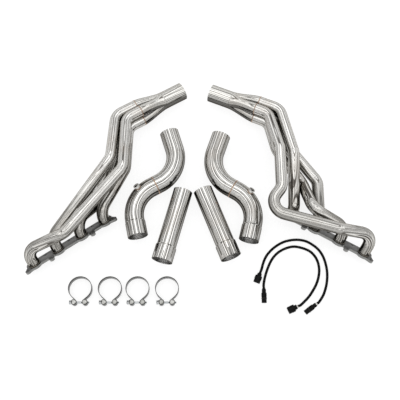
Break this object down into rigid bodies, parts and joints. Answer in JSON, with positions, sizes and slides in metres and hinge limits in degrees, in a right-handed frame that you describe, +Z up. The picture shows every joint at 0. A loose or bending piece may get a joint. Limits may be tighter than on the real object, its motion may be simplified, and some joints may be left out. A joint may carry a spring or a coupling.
{
  "type": "exhaust header kit",
  "caption": "Tubular exhaust headers merging into single outlets, with S-bend pipes, straight pipes, band clamps and sensor extension cables, laid out as a kit.",
  "frame": {"origin": "middle of the laid-out kit on the floor, measured without the two free cables", "axes": "+X to the right, +Y away from the viewer, +Z up; the floor is z = 0"},
  "size_m": [1.3015, 0.9343, 0.1622],
  "materials": {
    "flange_steel": "mild steel plate, dark grey",
    "primary_steel": "polished stainless tube",
    "collector_steel": "polished stainless sheet",
    "pipe_steel": "polished stainless tube",
    "bung_steel": "turned steel",
    "band_steel": "stainless strip",
    "barrel_steel": "turned steel",
    "bolt_steel": "zinc plated",
    "spacer_steel": "zinc plated",
    "cable_rubber": "black sleeve",
    "connector_plastic": "black moulded plastic",
    "boot_rubber": "pale silicone",
    "latch_plastic": "black moulded plastic",
    "seal_rubber": "silicone",
    "pin_brass": "plated"
  },
  "bodies": {
    "left_header": {"left_flange": "flange_steel", "left_primary_1": "primary_steel", "left_primary_2": "primary_steel", "left_primary_3": "primary_steel", "left_primary_4": "primary_steel", "left_collector": "collector_steel", "left_collector_outlet": "collector_steel"},
    "right_header": {"right_flange": "flange_steel", "right_primary_1": "primary_steel", "right_primary_2": "primary_steel", "right_primary_3": "primary_steel", "right_primary_4": "primary_steel", "right_collector": "collector_steel", "right_collector_outlet": "collector_steel"},
    "left_s_pipe": {"left_s_pipe_upper": "pipe_steel", "left_s_pipe_lower": "pipe_steel", "left_sensor_bung": "bung_steel"},
    "right_s_pipe": {"right_s_pipe_upper": "pipe_steel", "right_s_pipe_lower": "pipe_steel", "right_sensor_bung": "bung_steel"},
    "left_straight": {"left_straight_pipe": "pipe_steel"},
    "right_straight": {"right_straight_pipe": "pipe_steel"},
    "clamp_1": {"clamp_1_band": "band_steel", "clamp_1_plain_barrel": "barrel_steel", "clamp_1_spacer": "spacer_steel"},
    "clamp_1_nut": {"clamp_1_threaded_barrel": "barrel_steel"},
    "clamp_1_screw": {"clamp_1_bolt": "bolt_steel"},
    "clamp_2": {"clamp_2_band": "band_steel", "clamp_2_plain_barrel": "barrel_steel", "clamp_2_spacer": "spacer_steel"},
    "clamp_2_nut": {"clamp_2_threaded_barrel": "barrel_steel"},
    "clamp_2_screw": {"clamp_2_bolt": "bolt_steel"},
    "clamp_3": {"clamp_3_band": "band_steel", "clamp_3_plain_barrel": "barrel_steel", "clamp_3_spacer": "spacer_steel"},
    "clamp_3_nut": {"clamp_3_threaded_barrel": "barrel_steel"},
    "clamp_3_screw": {"clamp_3_bolt": "bolt_steel"},
    "clamp_4": {"clamp_4_band": "band_steel", "clamp_4_plain_barrel": "barrel_steel", "clamp_4_spacer": "spacer_steel"},
    "clamp_4_nut": {"clamp_4_threaded_barrel": "barrel_steel"},
    "clamp_4_screw": {"clamp_4_bolt": "bolt_steel"},
    "cable_1": {"cable_1_lead": "cable_rubber", "cable_1_socket": "connector_plastic", "cable_1_socket_boot": "cable_rubber", "cable_1_plug": "connector_plastic", "cable_1_plug_boot": "boot_rubber", "cable_1_plug_seal": "seal_rubber", "cable_1_plug_pins": "pin_brass"},
    "cable_1_lever": {"cable_1_latch": "latch_plastic"},
    "cable_2": {"cable_2_lead": "cable_rubber", "cable_2_socket": "connector_plastic", "cable_2_socket_boot": "boot_rubber", "cable_2_plug": "connector_plastic", "cable_2_plug_boot": "cable_rubber", "cable_2_plug_seal": "seal_rubber", "cable_2_plug_pins": "pin_brass"},
    "cable_2_lever": {"cable_2_latch": "latch_plastic"}
  },
  "joints": [
    {"name": "right_header_lift", "type": "slide", "parent": "left_header", "child": "right_header", "axis": [0, 0, 1], "range_m": [0, 0.3]},
    {"name": "left_s_pipe_lift", "type": "slide", "parent": "left_header", "child": "left_s_pipe", "axis": [0, 0, 1], "range_m": [0, 0.3]},
    {"name": "right_s_pipe_lift", "type": "slide", "parent": "left_header", "child": "right_s_pipe", "axis": [0, 0, 1], "range_m": [0, 0.3]},
    {"name": "left_straight_lift", "type": "slide", "parent": "left_header", "child": "left_straight", "axis": [0, 0, 1], "range_m": [0, 0.3]},
    {"name": "right_straight_lift", "type": "slide", "parent": "left_header", "child": "right_straight", "axis": [0, 0, 1], "range_m": [0, 0.3]},
    {"name": "clamp_1_lift", "type": "slide", "parent": "left_header", "child": "clamp_1", "axis": [0, 0, 1], "range_m": [0, 0.3]},
    {"name": "clamp_1_turn", "type": "hinge", "parent": "clamp_1", "child": "clamp_1_screw", "pos_m": [-0.44296, -0.44046, 0.014], "axis": [1, 0, 0], "range_deg": [0, 3602]},
    {"name": "clamp_1_close", "type": "slide", "parent": "clamp_1", "child": "clamp_1_nut", "axis": [-1, 0, 0], "range_m": [0, 0.0125], "deforming": ["clamp_1_band"]},
    {"name": "clamp_2_lift", "type": "slide", "parent": "left_header", "child": "clamp_2", "axis": [0, 0, 1], "range_m": [0, 0.3]},
    {"name": "clamp_2_turn", "type": "hinge", "parent": "clamp_2", "child": "clamp_2_screw", "pos_m": [-0.33296, -0.44046, 0.014], "axis": [1, 0, 0], "range_deg": [0, 3602]},
    {"name": "clamp_2_close", "type": "slide", "parent": "clamp_2", "child": "clamp_2_nut", "axis": [-1, 0, 0], "range_m": [0, 0.0125], "deforming": ["clamp_2_band"]},
    {"name": "clamp_3_lift", "type": "slide", "parent": "left_header", "child": "clamp_3", "axis": [0, 0, 1], "range_m": [0, 0.3]},
    {"name": "clamp_3_turn", "type": "hinge", "parent": "clamp_3", "child": "clamp_3_screw", "pos_m": [-0.23096, -0.44046, 0.014], "axis": [1, 0, 0], "range_deg": [0, 3602]},
    {"name": "clamp_3_close", "type": "slide", "parent": "clamp_3", "child": "clamp_3_nut", "axis": [-1, 0, 0], "range_m": [0, 0.0125], "deforming": ["clamp_3_band"]},
    {"name": "clamp_4_lift", "type": "slide", "parent": "left_header", "child": "clamp_4", "axis": [0, 0, 1], "range_m": [0, 0.3]},
    {"name": "clamp_4_turn", "type": "hinge", "parent": "clamp_4", "child": "clamp_4_screw", "pos_m": [-0.12196, -0.44046, 0.014], "axis": [1, 0, 0], "range_deg": [0, 3602]},
    {"name": "clamp_4_close", "type": "slide", "parent": "clamp_4", "child": "clamp_4_nut", "axis": [-1, 0, 0], "range_m": [0, 0.0125], "deforming": ["clamp_4_band"]},
    {"name": "cable_1_lift", "type": "slide", "parent": "left_header", "child": "cable_1", "axis": [0, 0, 1], "range_m": [0, 0.3]},
    {"name": "cable_1_press", "type": "hinge", "parent": "cable_1", "child": "cable_1_lever", "pos_m": [0.2152, -0.35107, 0.0207], "axis": [-0.9285, 0.3714, 0], "range_deg": [0, 6], "stiffness_Nm_per_rad": 0.02},
    {"name": "cable_2_lift", "type": "slide", "parent": "left_header", "child": "cable_2", "axis": [0, 0, 1], "range_m": [0, 0.3]},
    {"name": "cable_2_press", "type": "hinge", "parent": "cable_2", "child": "cable_2_lever", "pos_m": [0.33592, -0.46443, 0.0207], "axis": [-0.4138, 0.9104, 0], "range_deg": [0, 6], "stiffness_Nm_per_rad": 0.02}
  ],
  "couplings": [
    {"joint": "clamp_1_turn", "follows": "clamp_1_close", "rad_per_m": 5026.5},
    {"joint": "clamp_2_turn", "follows": "clamp_2_close", "rad_per_m": 5026.5},
    {"joint": "clamp_3_turn", "follows": "clamp_3_close", "rad_per_m": 5026.5},
    {"joint": "clamp_4_turn", "follows": "clamp_4_close", "rad_per_m": 5026.5}
  ]
}
